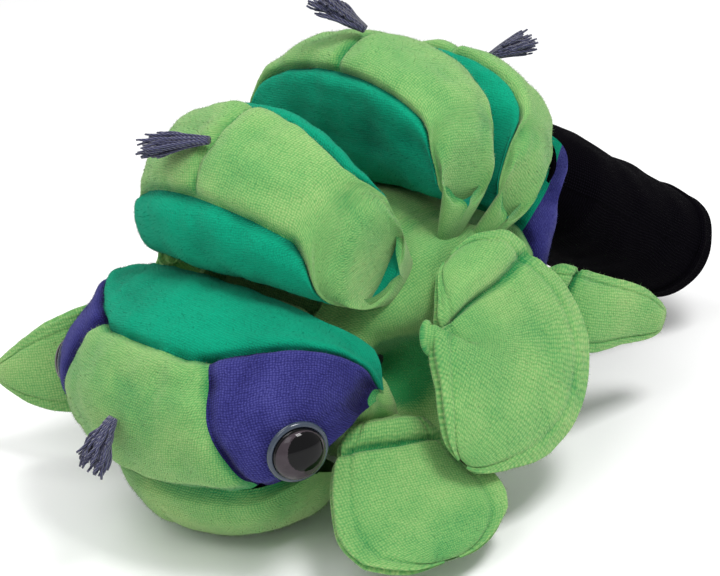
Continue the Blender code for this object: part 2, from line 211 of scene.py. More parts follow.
def velour(name, deep, middle, light, sheen_tint, sheen):
    """Short pile on a knitted ground: rows of small tufts along the UV map, brushed light and dark, and
    darkened by painted shade where the cloth dips into a seam, crease or hollow."""
    n = Nodes(name)
    uv = n.add("ShaderNodeUVMap").outputs["UV"]
    place = n.add("ShaderNodeTexCoord").outputs["Object"]
    warp = n.add("ShaderNodeTexNoise", Scale=38.0, Detail=2.0)
    n.join(uv, warp.inputs["Vector"])
    bent = n.add("ShaderNodeVectorMath", operation="MULTIPLY_ADD")
    n.join(warp.outputs["Color"], bent.inputs[0])
    bent.inputs[1].default_value = (0.012, 0.012, 0)
    n.join(uv, bent.inputs[2])
    rows = n.add("ShaderNodeMapping")
    rows.inputs["Scale"].default_value = (92, 104, 1)
    n.join(bent.outputs[0], rows.inputs["Vector"])
    tufts = n.add("ShaderNodeTexVoronoi", Scale=1.0, Randomness=0.22)
    n.join(rows.outputs[0], tufts.inputs["Vector"])
    pile = n.add("ShaderNodeTexNoise", Scale=2200.0, Detail=3.0, Roughness=0.7)
    n.join(place, pile.inputs["Vector"])
    brushed = n.add("ShaderNodeTexNoise", Scale=32.0, Detail=3.0, Roughness=0.55, Distortion=0.4)
    n.join(place, brushed.inputs["Vector"])
    tuft_top = n.math("SUBTRACT", 1.0, tufts.outputs["Distance"])
    grain = n.math("ADD", n.math("MULTIPLY", tuft_top, 0.55), n.math("MULTIPLY", pile.outputs["Fac"], 0.36))
    shade = n.math("ADD", n.math("MULTIPLY", grain, 0.8), n.math("MULTIPLY", brushed.outputs["Fac"], 0.42))
    # painted shade: the colour darkens where the cloth's relief sinks in, standing in for shade in seams and
    # creases
    crease_shade = n.add("ShaderNodeAttribute", attribute_name="painted_crease_shade").outputs["Fac"]
    shade = n.math("SUBTRACT", shade, n.math("MULTIPLY", crease_shade, 0.3))
    colour = n.ramp(shade, ((0.34, deep), (0.6, middle), (0.84, light)))
    n.join(colour, n.shader.inputs["Base Color"])
    height = n.math("ADD", n.math("MULTIPLY", tuft_top, 0.7), n.math("MULTIPLY", pile.outputs["Fac"], 0.6))
    normal = n.bump(height, 0.0009, 0.6)
    n.join(normal, n.shader.inputs["Normal"])
    n.shader.inputs["Roughness"].default_value = 0.95
    n.shader.inputs["Specular IOR Level"].default_value = 0.15
    n.shader.inputs["Sheen Weight"].default_value = sheen
    n.shader.inputs["Sheen Roughness"].default_value = 0.42
    n.shader.inputs["Sheen Tint"].default_value = (*sheen_tint, 1)
    return n.made


def knit(name, dark, light):
    """Fine ribbed knit: upright ribs crossed by courses."""
    n = Nodes(name)
    uv = n.add("ShaderNodeUVMap").outputs["UV"]
    ribs = n.add("ShaderNodeTexWave", bands_direction="X", Scale=26.0, Distortion=0.6, Detail=1.0)
    n.join(uv, ribs.inputs["Vector"])
    courses = n.add("ShaderNodeTexWave", bands_direction="Y", Scale=30.0, Distortion=0.9, Detail=1.0)
    n.join(uv, courses.inputs["Vector"])
    fuzz = n.add("ShaderNodeTexNoise", Scale=900.0, Detail=4.0)
    n.join(n.add("ShaderNodeTexCoord").outputs["Object"], fuzz.inputs["Vector"])
    height = n.math("ADD", n.math("MULTIPLY", ribs.outputs["Fac"], courses.outputs["Fac"]),
                    n.math("MULTIPLY", fuzz.outputs["Fac"], 0.5))
    n.join(n.ramp(height, ((0.2, dark), (1.0, light))), n.shader.inputs["Base Color"])
    n.join(n.bump(height, 0.0005, 0.7), n.shader.inputs["Normal"])
    n.shader.inputs["Roughness"].default_value = 0.9
    n.shader.inputs["Specular IOR Level"].default_value = 0.02
    return n.made


def yarn(name, dark, light):
    """Plied yarn: a twist along each strand."""
    n = Nodes(name)
    uv = n.add("ShaderNodeUVMap").outputs["UV"]
    turned = n.add("ShaderNodeMapping")
    turned.inputs["Rotation"].default_value = (0, 0, math.radians(32))
    n.join(uv, turned.inputs["Vector"])
    twist = n.add("ShaderNodeTexWave", bands_direction="X", Scale=34.0, Distortion=1.2, Detail=2.0)
    n.join(turned.outputs[0], twist.inputs["Vector"])
    n.join(n.ramp(twist.outputs["Fac"], ((0.1, dark), (0.9, light))), n.shader.inputs["Base Color"])
    n.join(n.bump(twist.outputs["Fac"], 0.0004, 0.8), n.shader.inputs["Normal"])
    n.shader.inputs["Roughness"].default_value = 0.85
    n.shader.inputs["Sheen Weight"].default_value = 0.3
    return n.made


def plain_cloth(name, dark, light):
    """Close cloth or loose fibre: one fine mottle for colour and height."""
    n = Nodes(name)
    place = n.add("ShaderNodeTexCoord").outputs["Object"]
    weave = n.add("ShaderNodeTexNoise", Scale=1200.0, Detail=3.0)
    n.join(place, weave.inputs["Vector"])
    n.join(n.ramp(weave.outputs["Fac"], ((0.3, dark), (0.7, light))), n.shader.inputs["Base Color"])
    n.join(n.bump(weave.outputs["Fac"], 0.0004, 0.6), n.shader.inputs["Normal"])
    n.shader.inputs["Roughness"].default_value = 0.95
    return n.made


def moulded(name, colour, roughness, specular=0.5):
    """Smooth plastic or board with a faint mottle."""
    n = Nodes(name)
    place = n.add("ShaderNodeTexCoord").outputs["Object"]
    mottle = n.add("ShaderNodeTexNoise", Scale=300.0, Detail=3.0)
    n.join(place, mottle.inputs["Vector"])
    darker = tuple(c * 0.8 for c in colour)
    n.join(n.ramp(mottle.outputs["Fac"], ((0.3, darker), (0.7, colour))), n.shader.inputs["Base Color"])
    n.shader.inputs["Roughness"].default_value = roughness
    n.shader.inputs["Specular IOR Level"].default_value = specular
    return n.made


GREEN = velour("green_velour", (0.02, 0.21, 0.06), (0.15, 0.36, 0.105), (0.34, 0.49, 0.18),
               sheen_tint=(1.0, 0.95, 0.7), sheen=0.3)
TURQUOISE = velour("turquoise_velour", (0.0, 0.12, 0.07), (0.0, 0.25, 0.14), (0.0, 0.32, 0.18),
                   sheen_tint=(0.2, 0.8, 0.65), sheen=0.12)
BLUE = velour("blue_velour", (0.004, 0.003, 0.04), (0.026, 0.026, 0.15), (0.08, 0.08, 0.3),
              sheen_tint=(0.45, 0.45, 0.8), sheen=0.15)
CUFF_KNIT = knit("black_knit", (0.0004, 0.0003, 0.0008), (0.0035, 0.0028, 0.005))
NAVY = yarn("navy_yarn", (0.012, 0.013, 0.045), (0.055, 0.058, 0.15))
LINING = plain_cloth("lining_cloth", (0.006, 0.012, 0.010), (0.02, 0.035, 0.028))
FIBRE = plain_cloth("white_fibre", (0.55, 0.55, 0.52), (0.85, 0.85, 0.82))


# Making pieces


def make_object(name, verts, faces, uvs, material, uv_scale=10.0):
    """A smooth mesh object from points in millimetres, with UVs in tenths of a metre."""
    mesh = bpy.data.meshes.new(name)
    mesh.from_pydata([(v - ORIGIN) * MM for v in verts], [], faces)
    mesh.update()
    layer = mesh.uv_layers.new(name="UVMap")
    for loop in mesh.loops:
        u, v = uvs[loop.vertex_index]
        layer.data[loop.index].uv = (u * MM * uv_scale, v * MM * uv_scale)
    mesh.polygons.foreach_set("use_smooth", [True] * len(mesh.polygons))
    mesh.materials.append(material)
    obj = bpy.data.objects.new(name, mesh)
    bpy.context.scene.collection.objects.link(obj)
    return obj


def grid_faces(columns, rows, around=False):
    faces = []
    for i in range(columns if around else columns - 1):
        for j in range(rows - 1):
            a = i * rows + j
            b = ((i + 1) % columns) * rows + j
            faces.append((a, b, b + 1, a + 1))
    return faces


def facing(surface, s, t, step=0.004):
    """The normal of a surface at its place (s, t)."""
    across = surface(s + step, t) - surface(s - step, t)
    along = surface(s, t + step) - surface(s, t - step)
    normal = across.cross(along)
    return normal.normalized() if normal.length > 1e-9 else Vector((0, 0, 1))


FULL_SHADE_DEPTH = 3      # depth of a groove at which the painted crease shade is darkest


def skin(name, surface, spans, columns, rows, material, relief=None, inside=None, around=False, flat=None):
    """A cloth surface over part of surface(s, t): spans(u, v) says which part, and relief(s, t, spot) pushes
    it outwards.
    flat(s, t) says where a place lies on the flat cloth, where the grid's own lengths don't do."""
    steps = columns if around else columns - 1
    params = [spans(i / steps, j / (rows - 1)) for i in range(columns) for j in range(rows)]
    spots = [surface(s, t) for s, t in params]
    normals = [facing(surface, s, t) for s, t in params]
    middle = inside if inside is not None else sum(spots, Vector()) / len(spots)
    flip = sum((spot - middle).dot(normal) for spot, normal in zip(spots, normals)) < 0
    if flip:
        normals = [-normal for normal in normals]
    heights = [relief(s, t, spot) if relief else 0.0 for spot, (s, t) in zip(spots, params)]
    spots = [spot + normal * height for spot, normal, height in zip(spots, normals, heights)]
    uvs = [flat(s, t) for s, t in params] if flat else cloth_map(spots, columns, rows)
    faces = grid_faces(columns, rows, around)
    obj = make_object(name, spots, faces, uvs, material)
    # painted shade: how far each point sinks below the cloth, stored for the material to darken its colour
    crease_shade_layer = obj.data.attributes.new("painted_crease_shade", "FLOAT", "POINT")
    crease_shade_layer.data.foreach_set("value", [min(max(-height / FULL_SHADE_DEPTH, 0), 1) for height in heights])
    sample = obj.data.polygons[len(obj.data.polygons) // 2]
    want = normals[faces[len(faces) // 2][0]]
    if sample.normal.dot(want) < 0:
        obj.data.flip_normals()
    return obj


def cloth_map(spots, columns, rows):
    """Where each point lies on the flat cloth, in millimetres along and across the grid."""
    across = [[0.0] * rows for _ in range(columns)]
    for i in range(1, columns):
        for j in range(rows):
            step = (spots[i * rows + j] - spots[(i - 1) * rows + j]).length
            across[i][j] = across[i - 1][j] + step
    uvs = []
    for i in range(columns):
        along = 0.0
        for j in range(rows):
            if j:
                along += (spots[i * rows + j] - spots[i * rows + j - 1]).length
            uvs.append((across[i][j], along))
    return uvs


def thicken(obj, thickness):
    """Gives a sheet a wall, inwards."""
    solid = obj.modifiers.new("Thickness", "SOLIDIFY")
    solid.thickness = thickness * MM
    solid.offset = -1


def puff(obj, pressure, most):
    """Lets the cloth of a filled piece settle under its filling's pressure, moving no point more than a few
    millimetres."""
    before = [vertex.co.copy() for vertex in obj.data.vertices]
    cloth = obj.modifiers.new("Puff", "CLOTH")
    cloth.settings.quality = 3
    cloth.settings.mass = 0.03
    cloth.settings.use_pressure = True
    cloth.settings.uniform_pressure_force = pressure
    cloth.settings.effector_weights.gravity = 0
    cloth.collision_settings.use_collision = False
    for frame_number in range(1, PUFF_FRAMES + 1):
        bpy.context.scene.frame_set(frame_number)
    evaluated = obj.evaluated_get(bpy.context.evaluated_depsgraph_get())
    after = [vertex.co.copy() for vertex in evaluated.data.vertices]
    obj.modifiers.remove(cloth)
    bpy.context.scene.frame_set(1)
    for vertex, old, new in zip(obj.data.vertices, before, after):
        move = new - old
        vertex.co = old + move * min(1, most * MM / max(move.length, 1e-9))


PUFF_FRAMES = 12


def settle(obj, body, slot, *nodes):
    """The piece rides on its body, takes the slot and stands for these CAD nodes."""
    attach(obj, body)
    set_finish(obj, slot)
    if nodes:
        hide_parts(*nodes)
    return obj


# The humps


class Hump:
    """A stuffed wedge in the fan over the arm. side runs across it, and turn goes round its section."""

    def __init__(self, middle, spread, top, front_seam, back_seam, end_lean=0.0):
        self.middle = math.radians(middle)
        self.spread = math.radians(spread)
        self.top = top
        self.front_seam = math.radians(front_seam)
        self.back_seam = math.radians(back_seam)
        self.end_lean = math.radians(end_lean)

    def point(self, side, turn):
        full = max(math.cos(side), 0.0) ** HUMP_FULLNESS
        half = (self.top - RING) / 2 * full
        radius = RING + half + half * rounded(math.cos(turn))
        angle = (self.middle + self.end_lean * (1 - full)
                 - self.spread * rounded(math.sin(turn)) * blend(0.7, 1, full))
        tuck = smooth(TUCK_FROM, TUCK_TO, abs(side)) ** 2
        across = HALF_WIDTH * math.sin(side) * (1 - TUCK_IN * tuck)
        return fan_point(across, radius - TUCK_DOWN * tuck, angle)


TUCK_FROM, TUCK_TO = math.radians(70), math.radians(89)
TUCK_IN = 0.2      # how far each end draws in across, as a share of the width
TUCK_DOWN = 22     # and how far it sinks into the body's side
HUMP_1 = Hump(137, 24, 98, 13, 50, 13)
HUMP_2 = Hump(76.5, 18.5, 93, 56, 54, 3)
HUMP_3 = Hump(43, 13.5, 98, 35, 45, -4)
HUMP_LIMIT = math.radians(80)
SEAM_END = math.radians(140)
SEAM_SPREAD = 0.62      # share of a hump's half width inside which its seams run straight
CLOSING_FROM, CLOSING_TO = math.radians(58), math.radians(76)      # where the green closes over the ends
CALM_FROM, CALM_TO = math.radians(66), math.radians(82)      # where the relief dies away towards the ends
GATHER_FROM, GATHER_TO = math.radians(50), math.radians(85)
HUMP_END = math.radians(89.9)
TURN_END = math.pi


def cloth_folds(spot, seed, size=1.0):
    """The soft unevenness of stuffed velour."""
    large = 2.0 * wrinkle(spot, 30, seed) + 1.1 * wrinkle(spot, 14, seed + 1)
    return size * (large + 0.4 * wrinkle(spot, 6, seed + 2))


def seam_relief(away, spot, seed, depth=2.6, swell=0.9):
    """The groove of a sewn seam at this many millimetres, with puckers and a swelling to each side."""
    groove = -depth * hill(away, 1.9) * (1 + 0.5 * wrinkle(spot, 7, seed + 3))
    return groove + swell * hill(abs(away) - 7, 5.5) * (1 + 0.8 * wrinkle(spot, 9, seed + 5))


def spread_seam(turn, side):
    """The green panels widen towards the ends of a hump, so that its seams run out into its grooves."""
    share = min(max((abs(side) / HUMP_LIMIT - SEAM_SPREAD) / (1 - SEAM_SPREAD), 0), 1)
    seam = blend(turn, math.copysign(max(abs(turn), SEAM_END), turn), share * share)
    closing = smooth(CLOSING_FROM, CLOSING_TO, abs(side))
    return blend(seam, math.copysign(TURN_END, turn), closing)


HUMP_SECTION = 30      # about the radius of a hump's section, which turns its angles into millimetres


def hump_relief(hump, seed):
    """Seams at both edges of the green and along its middle, on soft cloth gathered towards the ends."""
    def relief(side, turn, spot):
        front, back = spread_seam(-hump.front_seam, side), spread_seam(hump.back_seam, side)
        height = seam_relief((turn - front) * HUMP_SECTION, spot, seed)
        height += seam_relief((turn - back) * HUMP_SECTION, spot, seed + 1)
        on_green = smooth(front, front + 0.1, turn) * (1 - smooth(back - 0.1, back, turn))
        height += on_green * seam_relief(side * HALF_WIDTH, spot, seed + 2, 2.0, 0.7)
        ends = smooth(GATHER_FROM, GATHER_TO, abs(side))
        gather = 0.5 * ends * math.sin(turn * 9 + 2 * wrinkle(spot, 20, seed + 4))
        shown = 1 - smooth(CALM_FROM, CALM_TO, abs(side))
        return shown * (height + cloth_folds(spot, seed) + gather)
    return relief


def between(a, b, c, d):
    """Spans from a to b across and c to d along."""
    return lambda u, v: (blend(a, b, u), blend(c, d, v))


def hump_spans(low, high, start, stop):
    """Spans of a hump's panel, whose seams spread towards its ends."""
    def spans(u, v):
        side = blend(low, high, u)
        first = start if abs(start) == TURN_END else spread_seam(start, side)
        last = stop if abs(stop) == TURN_END else spread_seam(stop, side)
        return side, blend(first, last, v)
    return spans


def make_hump(prefix, hump, body, seed):
    inside = fan_point(0, (RING + hump.top) / 2, hump.middle)
    front, back = -hump.front_seam, hump.back_seam
    for part, low, high, start, stop, cloth, slot_name, rows in (
            ("left_panel", 0, HUMP_END, front, back, GREEN, "green_velour", 60),
            ("right_panel", -HUMP_END, 0, front, back, GREEN, "green_velour", 60),
            ("front_panel", -HUMP_END, HUMP_END, -TURN_END, front, TURQUOISE, "turquoise_velour", 70),
            ("back_panel", -HUMP_END, HUMP_END, back, TURN_END, TURQUOISE, "turquoise_velour", 70)):
        columns = 101 if low == 0 or high == 0 else 201
        spans = hump_spans(low, high, start, stop)
        panel = skin(f"look_{prefix}_{part}", hump.point, spans, columns, rows, cloth, hump_relief(hump, seed),
                     inside)
        settle(panel, body, slot_name, f"{prefix}_{part}")
        FUZZY.append(panel)


FUZZY = []      # the velour pieces, which get a pile
HUMPS = (("hump_1", HUMP_1, "hump_1", 11), ("hump_2", HUMP_2, "body", 23), ("hump_3", HUMP_3, "hump_3", 37))
for prefix, hump, body, seed in HUMPS:
    make_hump(prefix, hump, body, seed)


# The head and the jaw


def head_radius(angle):
    return through(HEAD_PROFILE, (angle - HEAD_FROM) / (HEAD_TO - HEAD_FROM))


def head_point(side, angle):
    full = max(math.cos(side), 0.0) ** HEAD_FULLNESS
    radius = head_radius(angle) * full
    return Vector((
        HEAD_HALF_WIDTH * math.sin(side),
        HEAD.y + radius * math.cos(angle) + CHEEK_BACK * (1 - full),
        HEAD.z + radius * math.sin(angle) - CHEEK_DROP * (1 - full),
    ))


def crown_back(side):
    """The crown's back edge, which reaches further back at the sides of the head."""
    return CROWN_BACK - math.radians(32) * min(abs(side) / math.radians(70), 1) ** 3


def crown_edge(side):
    """The seam behind the snout, which climbs to the groove at each side of the head."""
    return CROWN_EDGE - math.radians(40) * max(0, (abs(side) - 0.35) / 0.85) ** 1.3


def patch_inner(share):
    return PATCH_INNER + math.radians(22) * share


HEAD_END = math.radians(89.9)
HEAD_SEED = 53
LIP_ROLL = math.radians(5)


def head_relief(side, angle, spot):
    """Seams round the eye patches, the crown seam and the lip, over soft filling."""
    edge = crown_edge(side)
    share = (angle - edge) / (LIP - edge)
    height = seam_relief((angle - edge) * 50, spot, HEAD_SEED)
    if share > -0.02:
        height += seam_relief((abs(side) - patch_inner(share)) * 45, spot, HEAD_SEED + 1, 2.2, 0.8)
        height += seam_relief((abs(side) - PATCH_OUTER) * 30, spot, HEAD_SEED + 2, 1.6, 0.4)
        height -= 3.5 * smooth(LIP - LIP_ROLL, LIP + LIP_ROLL, angle)
    return height + cloth_folds(spot, HEAD_SEED, 0.85)


def head_spans(top, bottom, inner, outer):
    """Spans between two seams round the head and two across it, each a function or a fixed angle."""
    def spans(u, v):
        low, high = (edge(v) if callable(edge) else edge for edge in (inner, outer))
        side = blend(low, high, u)
        start, stop = (edge(side) if callable(edge) else edge for edge in (top, bottom))
        return side, blend(start, stop, v)
    return spans


HEAD_SKINS = (
    ("snout_panel", GREEN, "green_velour", crown_edge, LIP + LIP_ROLL, lambda v: -patch_inner(v), patch_inner,
     (110, 110)),
    ("crown_panel", TURQUOISE, "turquoise_velour", crown_back, crown_edge, -PATCH_OUTER, PATCH_OUTER,
     (170, 60)),
    ("left_eye_patch", BLUE, "blue_velour", crown_edge, LIP + LIP_ROLL, patch_inner, PATCH_OUTER, (80, 120)),
    ("right_eye_patch", BLUE, "blue_velour", crown_edge, LIP + LIP_ROLL, lambda v: -patch_inner(v),
     -PATCH_OUTER, (80, 120)),
    ("left_cheek_strip", GREEN, "green_velour", crown_back, LIP + LIP_ROLL, PATCH_OUTER, HEAD_END, (24, 130)),
    ("right_cheek_strip", GREEN, "green_velour", crown_back, LIP + LIP_ROLL, -PATCH_OUTER, -HEAD_END,
     (24, 130)),
)
for node, cloth, slot_name, top, bottom, inner, outer, size in HEAD_SKINS:
    spans = head_spans(top, bottom, inner, outer)
    panel = skin("look_" + node, head_point, spans, *size, cloth, head_relief, HEAD)
    settle(panel, "head", slot_name, node)
    FUZZY.append(panel)


JAW_DEPTH = 29.5


def jaw_point(side, angle):
    full = max(math.cos(side), 0.0) ** 0.6
    reach = blend(JAW_REACH, JAW_BACK, smooth(-0.2, 0.2, math.cos(angle)))
    return Vector((
        JAW_HALF_WIDTH * math.sin(side),
        JAW.y + reach * full * rounded(math.cos(angle), 0.8),
        JAW.z + JAW_DEPTH * full * rounded(math.sin(angle), 0.8),
    ))


def jaw_relief(side, angle, spot):
    """The lip rolls in, and a seam runs under the chin."""
    height = -2.5 * smooth(math.radians(188), math.radians(176), angle)
    height += seam_relief(side * 45, spot, 71, 1.0, 0.5) * smooth(math.radians(190), math.radians(215), angle)
    return height + cloth_folds(spot, 71, 0.8)


JAW_FROM = math.radians(177)
JAW_TO = math.radians(345)
jaw = skin("look_jaw_panel", jaw_point, between(-HEAD_END, HEAD_END, JAW_FROM, JAW_TO), 170, 110, GREEN,
           jaw_relief, JAW + Vector((0, 0, -8)))
settle(jaw, "jaw", "green_velour", "jaw_panel")
FUZZY.append(jaw)


def mouth_plate(name, half_width, reach, low, high, cloth, seed):
    """A soft lined plate across the mouth: crowned in the middle and rolled at its rim."""
    rings, around = 18, 72
    spots = []
    for ring in range(rings + 1):
        size = ring / rings
        for k in range(around):
            turn = 2 * math.pi * k / around
            x = half_width * size * math.cos(turn)
            y = MOUTH_HINGE.y - 2 - (reach if math.sin(turn) > 0 else 3) * size * math.sin(turn)
            fall = (high - low) * size ** 6
            lump = 0.35 * wrinkle(Vector((x, y, 0)), 9, seed) * (1 - size)
            spots.append(Vector((x, y, high - fall + lump)))
    faces = []
    for ring in range(rings):
        for k in range(around):
            a, b = ring * around + k, ring * around + (k + 1) % around
            faces.append((a, a + around, b + around, b))
    return make_object(name, spots, faces, [(spot.x, spot.y) for spot in spots], cloth)


PLATE_CROWN = 0.95
TONGUE = PALATE - MOUTH_GAP
roof = mouth_plate("look_mouth_roof", 51, 42, PALATE + PLATE_CROWN, PALATE, LINING, 81)
settle(roof, "head", "lining_cloth", "mouth_roof_lining")
tongue = mouth_plate("look_tongue", 39, 32, TONGUE - PLATE_CROWN, TONGUE, LINING, 83)
settle(tongue, "jaw", "lining_cloth", "tongue_lining")


# The body


# Each station of a sleeve: its middle, half width, half height and lean in degrees
BODY = (
    (Vector((0, 14, 48)), 49, 31, -20),
    (Vector((0, 38, 53)), 55, 54, 0),
    (Vector((0, 68, 54)), 55, 56, 0),
    (Vector((0, 96, 53)), 51, 40, 5),
    (Vector((0, 114, 74)), 45, 27, 25),
    (Vector((0, 131, 95)), 39, 21, 36),
)
BODY_FULLNESS = 0.62
GLOVE = (
    (Vector((0, 12, 52)), 38, 18, -15),
    (Vector((0, 38, 70)), 40, 26, 0),
    (Vector((0, 66, 75)), 40, 26, 0),
    (Vector((0, 92, 68)), 38, 19, 10),
    (Vector((0, 112, 78)), 35, 15, 28),
    (Vector((0, 128, 93)), 30, 11, 36),
)
TAIL = 0.66      # share of the body's length at which its tail starts
# Each panel's turn from and to, in degrees, and its share of the body's length from and to
BODY_PANELS = {
    "belly_panel": (206, 334, 0, 1),
    "left_side_panel": (-26, 62, 0, TAIL),
    "right_side_panel": (118, 206, 0, TAIL),
    "left_tail_patch": (-26, 45, TAIL, 1),
    "right_tail_patch": (135, 206, TAIL, 1),
    "saddle_panel": (62, 118, 0, TAIL),
    "tail_panel": (45, 135, TAIL, 1),
}


def tube_point(stations, turn, share, power=0.85):
    """A place on a sleeve through stations of (middle, half width, half height, lean of the ring)."""
    middle, wide, high, lean = (through([s[i] for s in stations], share) for i in range(4))
    across = wide * rounded(math.cos(turn), power)
    up = high * rounded(math.sin(turn), power)
    lean = math.radians(lean)
    place = middle + Vector((across, up * math.sin(lean), up * math.cos(lean)))
    place.z = max(place.z, 0)
    return place


def body_surface(turn, share):
    """A place on the body, which lies on the floor where it would sink below it."""
    return tube_point(BODY, turn, share, BODY_FULLNESS)


ROLL = points((0, 13, 92), (0, 5, 80), (0, 2, 64), (0, 6, 48), (0, 16, 38))


def roll_relief(spot):
    """A roll of slack cloth down the front edge of each side, and the hollow behind it."""
    if abs(spot.x) < 30:
        return 0.0
    flat = Vector((0, spot.y, spot.z))
    nearest = min((flat - through(ROLL, k / 24)).length for k in range(25))
    hollow = (flat - Vector((0, 24, 58))).length
    return 10 * hill(nearest, 8) - 8 * hill(hollow, 13) * (1 - hill(nearest, 8))


HOLLOW = Vector((60, 20, 60))      # where the body sinks in behind the front foot
HOLLOW_DEPTH = 10
SHOULDER_SWELL = 5      # how far the body's sides swell out under the humps' ends


def body_relief(turn, share, spot):
    """Seams under the sides and round the tail, and flat where the body rests."""
    under = abs(math.degrees(turn) - 270 if turn > math.pi else math.degrees(turn) + 90)
    height = seam_relief((under - 64) * 0.8, spot, 91, 1.8, 0.6)
    height += seam_relief((share - TAIL) * 120, spot, 93, 2.0, 0.7)
    shoulder = smooth(66, 84, spot.z) * smooth(36, 48, abs(spot.x)) * (1 - smooth(80, 96, spot.y))
    height += roll_relief(spot) + SHOULDER_SWELL * shoulder
    height -= HOLLOW_DEPTH * hill((Vector((abs(spot.x), spot.y, spot.z)) - HOLLOW).length, 12)
    resting = 1 - smooth(0.5, 5, spot.z)
    return (height + cloth_folds(spot, 91, 1.1)) * (1 - resting)


BODY_COLOURS = {"tail_panel": (TURQUOISE, "turquoise_velour"), "left_tail_patch": (BLUE, "blue_velour"),
                "right_tail_patch": (BLUE, "blue_velour")}
for node, (low, high, first, last) in BODY_PANELS.items():
    cloth, slot_name = BODY_COLOURS.get(node, (GREEN, "green_velour"))
    size = (round(abs(high - low) * 1.1), max(30, round(150 * (last - first))))
    spans = between(math.radians(low), math.radians(high), first, last)
    panel = skin("look_" + node, body_surface, spans, *size, cloth, body_relief, BODY[2][0])
    settle(panel, "body", slot_name, node)
    FUZZY.append(panel)


def whole_tube(u, v):
    """Spans all round and all along a sleeve."""
    return 2 * math.pi * u, v


def lining_sleeve(name, stations, body, node, seed):
    """A thin open sleeve for the arm, the fingers or the thumb."""
    def relief(turn, share, spot):
        return cloth_folds(spot, seed, 0.35)
    sleeve = skin(name, lambda turn, share: tube_point(stations, turn, share), whole_tube, 90, 60, LINING,
                  relief, stations[len(stations) // 2][0], around=True)
    return settle(sleeve, body, "lining_cloth", node)


FINGERS = ((Vector((0, 4, 52)), 38, 9, 0), (Vector((0, -20, 50)), 38, 8, 0), (Vector((0, -46, 49)), 30, 5, 0))
THUMB = ((Vector((0, -8, 19)), 24, 8, 0), (Vector((0, -24, 19)), 24, 7, 0), (Vector((0, -44, 19)), 17, 4, 0))
lining_sleeve("look_hand_lining", GLOVE, "body", "hand_lining", 101)
lining_sleeve("look_finger_pocket", FINGERS, "head", "finger_pocket", 103)
lining_sleeve("look_thumb_pocket", THUMB, "jaw", "thumb_pocket", 105)


# The cuff


DOWN = Vector((0, math.cos(CUFF_SLOPE), -math.sin(CUFF_SLOPE)))
UP_SLOPE = Vector((0, math.sin(CUFF_SLOPE), math.cos(CUFF_SLOPE)))


def cuff_point(turn, along):
    """A place on the cuff, along millimetres down its slope. It is gathered onto the tail where it starts."""
    open_by = blend(0.80, 1, smooth(-8, 14, along))
    across = Vector((1, 0, 0)) * CUFF_HALF_WIDTH * open_by * rounded(math.cos(turn), 0.85)
    up = UP_SLOPE * CUFF_HALF_HEIGHT * open_by * rounded(math.sin(turn), 0.85)
    return CUFF_JOINT + DOWN * along + across + up


def cuff_relief(turn, along, spot):
    """Slack folds, and the thicker hem with a rolled edge."""
    folds = 1.5 * wrinkle(spot, 26, 111) + 0.7 * wrinkle(spot, 11, 113)
    hem = 0.9 * smooth(HEM_START - 1, HEM_START + 1, along) + 0.5 * hill(along - HEM_START - 2, 1.0)
    edge = -1.2 * smooth(CUFF_LENGTH - 1.5, CUFF_LENGTH, along)
    return folds * smooth(0, 12, along) + hem + edge


def cuff_piece(name, start, stop, rows, node):
    piece = skin(name, cuff_point, between(0, 2 * math.pi, start, stop), 220, rows, CUFF_KNIT, cuff_relief,
                 CUFF_JOINT + DOWN * (start + stop) / 2, around=True)
    thicken(piece, CUFF_WALL)
    return settle(piece, "cuff", "black_knit", node)


cuff_piece("look_cuff", CUFF_START, HEM_START, 110, "cuff")
cuff_piece("look_cuff_hem", HEM_START, CUFF_LENGTH, 16, "cuff_hem")


# The feet


# Each foot: its middle line from root to tip, the way its width lies at each point, its half widths and its
# half thickness. The feet that the photo doesn't show mirror the near ones.
FEET = {
    "left_front_foot": (points((58, 8, 48), (74, 0, 34), (90, -5, 22), (106, -8, 12)),
                        points((0, 1, 0.1), (0.15, 1, 0.05), (0.27, 0.95, -0.04), (0.2, 0.95, -0.1)),
                        (14, 27, 34, 27), 4),
    "left_middle_foot": (points((60, 46, 99), (73, 53, 84), (83, 49, 62), (94, 13, 39)),
                         points((0, 0.96, 0.27), (0, 0.99, 0.13), (0.02, 1, -0.14), (-0.05, 0.98, 0)),
                         (18, 29, 40, 17), 4),
    "left_rear_foot": (points((55, 94, 70), (67, 106, 58), (71, 128, 49), (73, 149, 39)),
                       points((0, 0.2, 1), (-0.2, 0.25, 0.9), (-0.1, 0.4, 0.9), (0, 0.5, 0.85)),
                       (12, 16, 12, 7), 4),
    "right_front_foot": (points((-61, 14, 45), (-80, -8, 45), (-95, -32, 42), (-116, -46, 40)),
                         points((0, 0.2, 1), (0, 0.2, 1), (-0.1, 0.1, 1), (-0.1, 0.1, 1)),
                         (18, 21, 17, 5), 4),
}


def mirrored(rows):
    return [Vector((-row.x, row.y, row.z)) for row in rows]


for word in ("middle", "rear"):
    line, sides, widths, thick = FEET[f"left_{word}_foot"]
    FEET[f"right_{word}_foot"] = (mirrored(line), mirrored(sides), widths, thick)


def foot_surface(line, sides, widths, thick):
    """A closed limp flap: the same long bent pillow as its solid, wrapped round its edge."""
    def surface(turn, share):
        share = min(max(share, 0), 1)
        x = -math.cos(math.pi * share)
        reach = (x + 1) / 2
        middle = through(line, reach)
        along = (through(line, min(reach + 0.02, 1)) - through(line, max(reach - 0.02, 0))).normalized()
        side = through(sides, reach)
        side = (side - along * side.dot(along)).normalized()
        normal = along.cross(side)
        ring = math.sin(math.pi * share)
        wide = through(widths, reach) * min(1, ring * 1.25) ** 0.8
        return (middle + side * wide * math.cos(turn)
                + normal * thick * min(1, ring * 1.6) * rounded(math.sin(turn), 0.6))
    return surface


